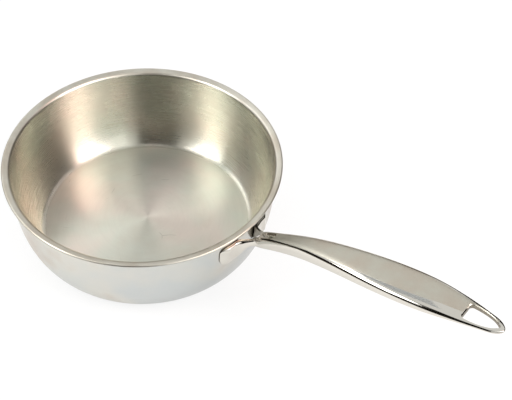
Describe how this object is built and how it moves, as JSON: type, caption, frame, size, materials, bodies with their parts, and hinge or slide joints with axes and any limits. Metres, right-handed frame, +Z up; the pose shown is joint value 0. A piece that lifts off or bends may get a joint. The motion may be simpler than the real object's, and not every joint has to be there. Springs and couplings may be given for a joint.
{
  "type": "deep frying pan",
  "caption": "Deep round clad steel frying pan with a flared lip, and a cast forked handle that rises from two curved pads to a flat tip with a hang hole.",
  "frame": {"origin": "centre of the flat underside of the base, on the surface that the pan stands on", "axes": "+Z up out of the pan's mouth, +X from the pan's axis towards the tip of the handle, +Y to the left of the handle seen from the pan"},
  "size_m": [0.4348, 0.2296, 0.1311],
  "materials": {
    "liner_steel": "brushed round the pan, with a fine circular grain on the wall and the floor",
    "core_aluminium": "rolled, bonded between the steel layers and out of sight",
    "shell_steel": "polished",
    "handle_steel": "cast and polished, with a satin top face",
    "weld_steel": "fused, out of sight behind the pads"
  },
  "bodies": {
    "root": {"inner_steel_liner": "liner_steel", "aluminium_core": "core_aluminium", "outer_steel_shell": "shell_steel", "cast_handle": "handle_steel", "weld_spot_1": "weld_steel", "weld_spot_2": "weld_steel", "weld_spot_3": "weld_steel", "weld_spot_4": "weld_steel"}
  },
  "joints": []
}
